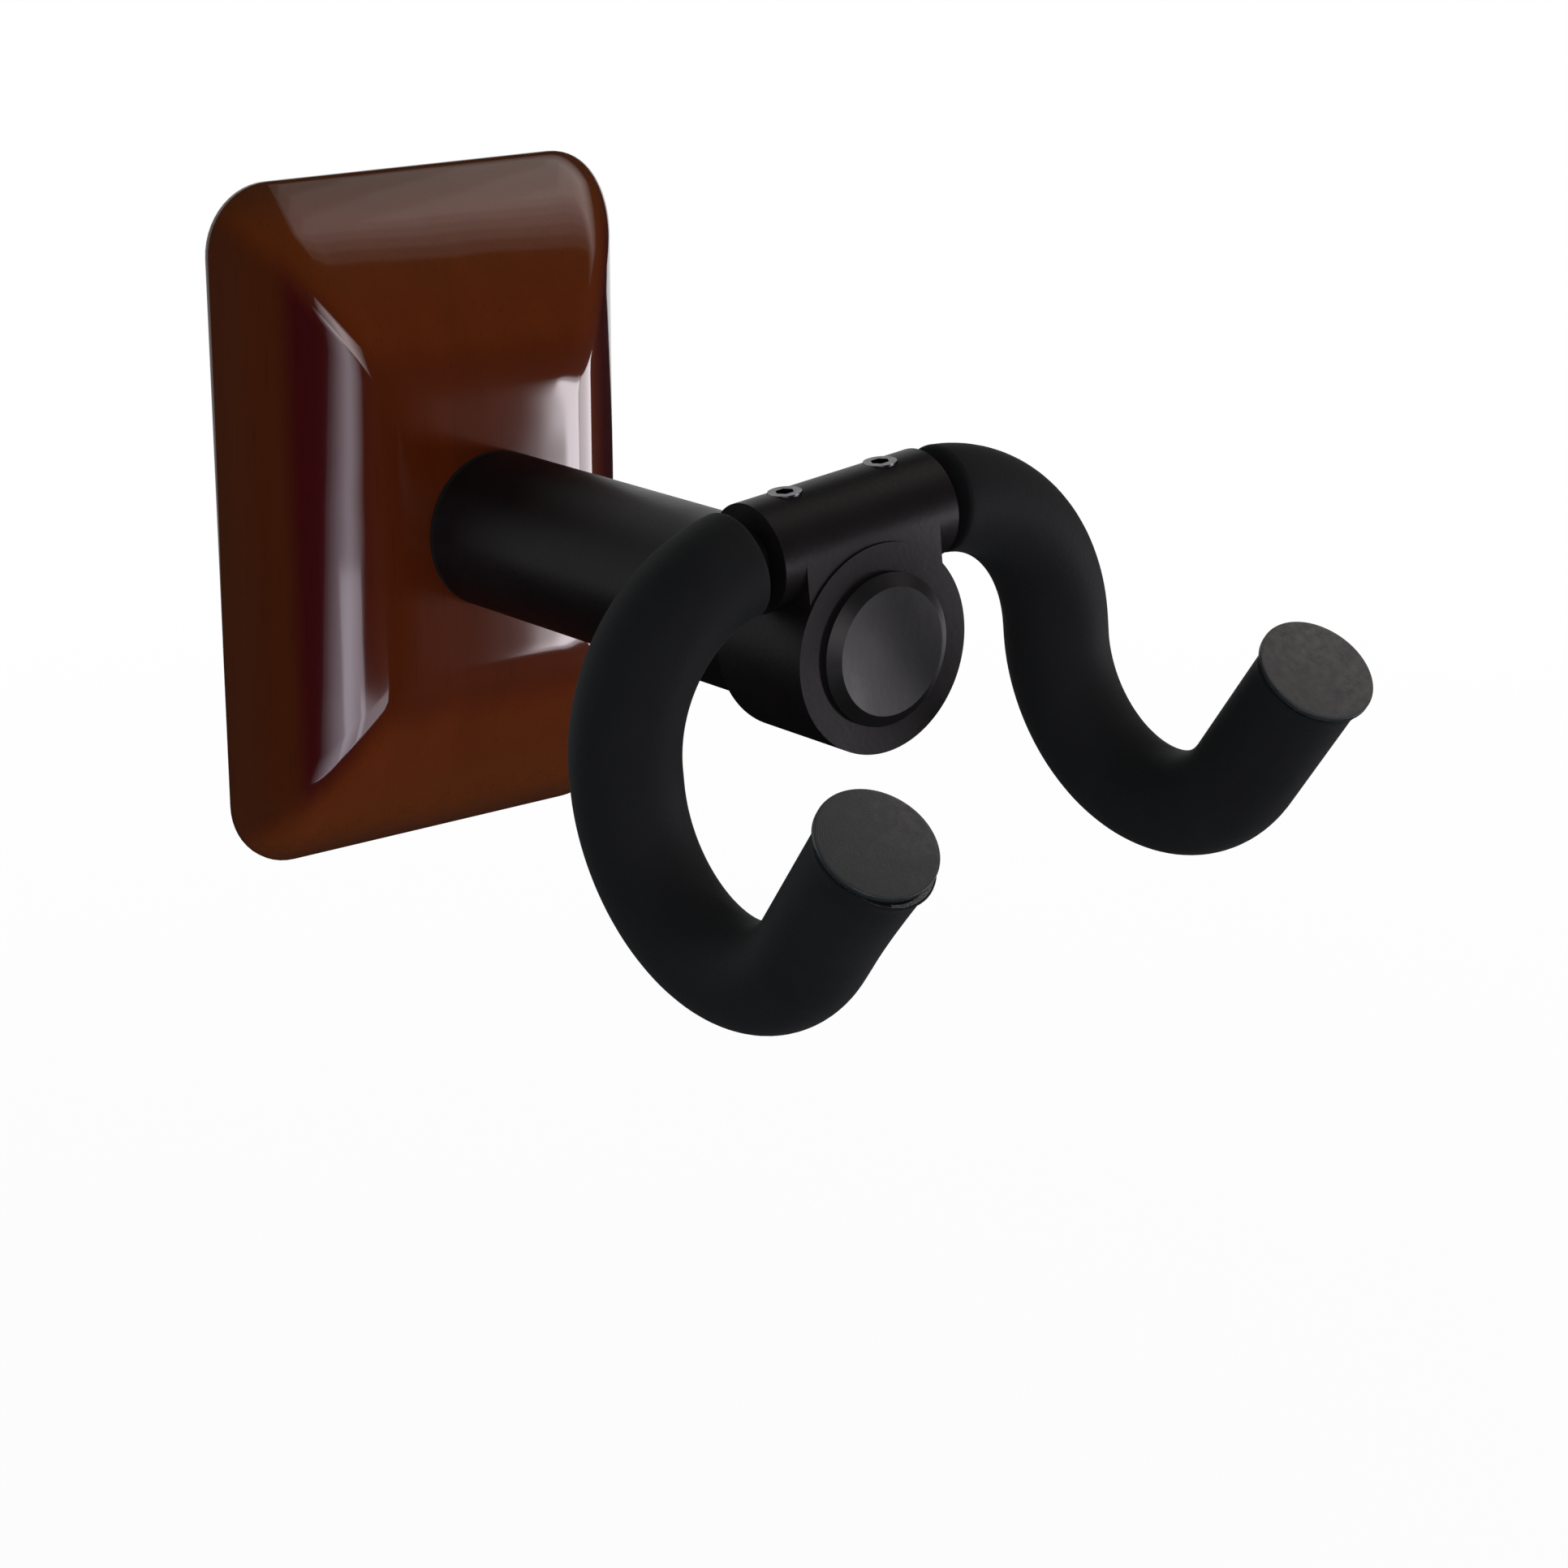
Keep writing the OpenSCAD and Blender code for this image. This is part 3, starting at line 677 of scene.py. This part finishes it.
# The cap's section in rows of (s, r): the stem's hollow, its mouth and its outside, the flange,
# and the face, whose crown falls off with the square of the distance from the middle.
cap_profile = [(stem_floor, 0.6), (stem_floor, bore_r - fillet), (stem_floor - fillet, bore_r)]
cap_profile += [(stem_end + mouth_ease, bore_r), (stem_end, bore_r + mouth_ease)]
cap_profile += [(stem_end, stem_r - mouth_ease), (stem_end + mouth_ease, stem_r)]
cap_profile += [(flange_back - fillet, stem_r), (flange_back, stem_r + fillet)]
cap_profile += [(flange_back, cap_r - flange_ease), (flange_back + flange_ease, cap_r)]
cap_profile += [(rim - cap_edge * (1 - sin(a)), cap_r - cap_edge * (1 - cos(a)))
                for a in np.linspace(0, pi / 2, 5)]
cap_profile += [(cap_face - crown * (r / (cap_r - cap_edge)) ** 2, r)
                for r in (6.6, 6.2, 5.6, 5.0, 4.0, 3.0, 2.0, 1.0, 0.3)]
from_middle = np.append(np.repeat(np.array(cap_profile)[:, 1], cap_around), [0.0, 0.0])
cap_finish = turned_rubber()
for side, name in ((1, "right"), (-1, "left")):
    cap = new_piece(name + "_cap", carried_along(cap_profile, side, cap_around), "fanned", 50)
    turning = cap.data.attributes.new("turning", "FLOAT", "POINT")
    turning.data.foreach_set("value", from_middle)
    cap.data.materials.append(cap_finish)
    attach(cap, "yoke")
    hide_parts(name + "_end_cap")


# ---- Floor ----------------------------------------------------------------------------------
# Not part of the hanger: a plain pale floor well below it. It is white to the camera and in
# reflections, and keeps a faint shadow of what stands over its middle.

def straight_rays(add):
    """1 for a ray from the camera, through something clear or off a gloss, and 0 for others."""
    rays = add("ShaderNodeLightPath").outputs
    direct = maths(add, "MAXIMUM", rays["Is Camera Ray"], rays["Is Transmission Ray"])
    return maths(add, "MAXIMUM", direct, rays["Is Glossy Ray"])


def pale_floor():
    """Near-white paper with a faint mottle. To the camera and in reflections it is mostly plain
    white, all of it beyond two metres from the middle."""
    material, add, join = finish("pale_floor", {"Roughness": 0.9, "Specular IOR Level": 0.1})
    place = own_place(add)
    mottle = noise(add, place, scale=4.0, detail=3.0)
    join(ramp(add, mottle, [(0.3, (0.86, 0.86, 0.86)), (0.7, (0.89, 0.89, 0.89))]), "Base Color")
    away = add("ShaderNodeVectorMath", None, {0: place}, operation="LENGTH").outputs["Value"]
    far = spread(add, away, 0.93, 1.0, low=0.6, high=2.0)
    whiteness = maths(add, "MULTIPLY", straight_rays(add), far)
    nodes = material.node_tree.nodes
    white = add("ShaderNodeEmission", {"Color": (1, 1, 1, 1), "Strength": 1.0})
    seen = add("ShaderNodeMixShader", None, {0: whiteness, 1: nodes["Principled BSDF"].outputs[0],
                                             2: white.outputs[0]})
    surface = nodes["Material Output"].inputs["Surface"]
    material.node_tree.links.new(seen.outputs[0], surface)
    return material


def staged(name, points, faces, material):
    """A piece of the studio, points in metres."""
    mesh = bpy.data.meshes.new(name)
    mesh.from_pydata(points, [], faces)
    piece = bpy.data.objects.new(name, mesh)
    bpy.context.scene.collection.objects.link(piece)
    piece.data.materials.append(material)
    return piece


floor_z = -500 * mm
floor_half = 9
floor_corners = [(x * floor_half, y * floor_half, floor_z)
                 for x, y in ((-1, -1), (1, -1), (1, 1), (-1, 1))]
staged("floor", floor_corners, [(0, 1, 2, 3)], pale_floor())


# ---- Light ----------------------------------------------------------------------------------
# A white room with soft boxes at the left, at the right and overhead, each for one highlight on
# the lacquer. A dark curtain nearly all round shows in reflections only, so that the gloss stays
# deep between the highlights.

world = bpy.data.worlds.new("white_room")
bpy.context.scene.world = world
world.use_nodes = True
world.node_tree.nodes.clear()
add = node_adder(world.node_tree)
room = add("ShaderNodeBackground", {"Color": (0.95, 0.97, 1.0, 1), "Strength": 0.50})
backdrop = add("ShaderNodeBackground", {"Color": (1, 1, 1, 1), "Strength": 1.0})
seen = add("ShaderNodeMixShader", None,
           {0: straight_rays(add), 1: room.outputs[0], 2: backdrop.outputs[0]})
add("ShaderNodeOutputWorld", None, {0: seen.outputs[0]})


def dark_cloth():
    """Black curtain cloth with soft folds in its shade."""
    material, add, join = finish("dark_cloth", {"Roughness": 0.95, "Specular IOR Level": 0.0})
    folds = noise(add, stretched(add, (3, 3, 0.4)), scale=1.0, detail=2.0)
    join(ramp(add, folds, [(0.35, (0.010, 0.010, 0.011)), (0.65, (0.022, 0.021, 0.022))]),
         "Base Color")
    return material


# The curtain is a sphere round the hanger, open behind it and flattened just above the floor.
# Its rings run round the Y axis, from a little hole in front of the hanger's middle to the
# opening, whose closing fan is left off.
curtain_r, curtain_columns, curtain_rows = 3.0, 48, 26
above_floor = 0.02
around = np.linspace(0, 2 * pi, curtain_columns, endpoint=False)
off_front = np.linspace(radians(3), radians(125), curtain_rows)[:, None]
dome = np.stack([curtain_r * np.sin(off_front) * np.cos(around),
                 -curtain_r * np.cos(off_front) + 0 * around,
                 np.maximum(curtain_r * np.sin(off_front) * np.sin(around),
                            floor_z + above_floor)], -1)
points, faces = band_of_rings(dome)
curtain = staged("dark_curtain", points.tolist(), faces[:-curtain_columns], dark_cloth())
curtain.visible_camera = False
curtain.visible_diffuse = False
curtain.visible_shadow = False
curtain.visible_transmission = False


lit_point = Vector((0, -0.03, 0))


def soft_box(name, place, width, height, watts, colour, lean=0):
    """A rectangular lamp at a place, its face turned towards lit_point in the hanger, and itself
    turned on that face by lean degrees."""
    lamp = bpy.data.lights.new(name, "AREA")
    lamp.shape = "RECTANGLE"
    lamp.size, lamp.size_y = width, height
    lamp.energy = watts
    lamp.color = colour
    box = bpy.data.objects.new(name, lamp)
    box.location = place
    facing = (lit_point - Vector(place)).to_track_quat("-Z", "Y")
    box.rotation_euler = (facing @ Quaternion((0, 0, 1), radians(lean))).to_euler()
    bpy.context.scene.collection.objects.link(box)


def nested_boxes(name, place, apart, sizes, colour, lean=0):
    """Soft boxes one behind the other, from the smallest in front, so that together they fade
    towards their sides. apart is the step from one to the next, and sizes has the width, height
    and watts of each."""
    for step, (width, height, watts) in enumerate(sizes):
        stands = [start + step * move for start, move in zip(place, apart)]
        soft_box("%s_%d" % (name, step), stands, width, height, watts, colour, lean)


# At the left, a leaning strip for the long highlight on the left slope, a shorter one above it for
# the mitre's, and two small boxes near the floor for the highlight's lower end.
cool_white = (0.93, 0.88, 1.0)
nested_boxes("left_strip", (-0.754, -0.774, -0.15), (-0.004, -0.004, 0),
             [(0.040, 0.80, 0.07), (0.074, 0.80, 0.13), (0.110, 0.80, 0.19),
              (0.145, 0.80, 0.25), (0.180, 0.80, 0.30), (0.220, 0.80, 0.37)], cool_white, -35)
nested_boxes("left_top", (-0.448, -1.013, 0.21), (-0.004, -0.008, 0),
             [(0.08, 0.44, 0.18), (0.16, 0.52, 0.40), (0.24, 0.60, 0.66), (0.32, 0.68, 0.95)],
             (1.0, 0.90, 0.92), -39)
soft_box("left_foot", (-0.80, -0.73, -0.37), 0.16, 0.20, 0.30, cool_white)
soft_box("left_low", (-0.60, -0.90, -0.40), 0.46, 0.14, 0.8, cool_white)

# At the right, two boxes for the reflection on the field and a wider one for the right slope, by
# their angle from straight ahead.
for step, (angle, width, height, watts) in enumerate([(42.36, 0.26, 0.21, 1.7),
                                                      (42.33, 0.28, 0.26, 1.15),
                                                      (67.5, 0.78, 0.22, 4.6)]):
    reach = 1.174 + 0.01 * step
    soft_box("right_strip_%d" % step,
             (reach * sin(radians(angle)), -reach * cos(radians(angle)), -0.26),
             width, height, watts, (1.0, 0.94, 1.0))

# Overhead, a broad one for the soft light on the top slope and the caps.
nested_boxes("overhead", (1.12, -0.20, 1.12), (0.01, 0, 0.01),
             [(0.46, 0.46, 0.24), (0.60, 0.60, 0.40), (0.74, 0.74, 0.60),
              (0.88, 0.88, 0.85), (1.02, 1.02, 1.15), (1.18, 1.18, 1.55)], (1.0, 0.89, 0.85))


# ---- Camera ---------------------------------------------------------------------------------
# A long lens to the left of the hanger and above it, level with the horizon.

lens = bpy.data.cameras.new("camera")
lens.sensor_width = 36.0
lens.lens = 86.58
lens.clip_start, lens.clip_end = 0.01, 50.0
camera = bpy.data.objects.new("camera", lens)
heading, dip = radians(-39.46), radians(17.34)
ahead = Vector((-sin(heading) * cos(dip), cos(heading) * cos(dip), -sin(dip)))
camera.location = (-0.27433, -0.41023, 0.11419)
camera.rotation_euler = ahead.to_track_quat("-Z", "Y").to_euler()
bpy.context.scene.collection.objects.link(camera)
bpy.context.scene.camera = camera
bpy.context.scene.view_settings.view_transform = "Standard"
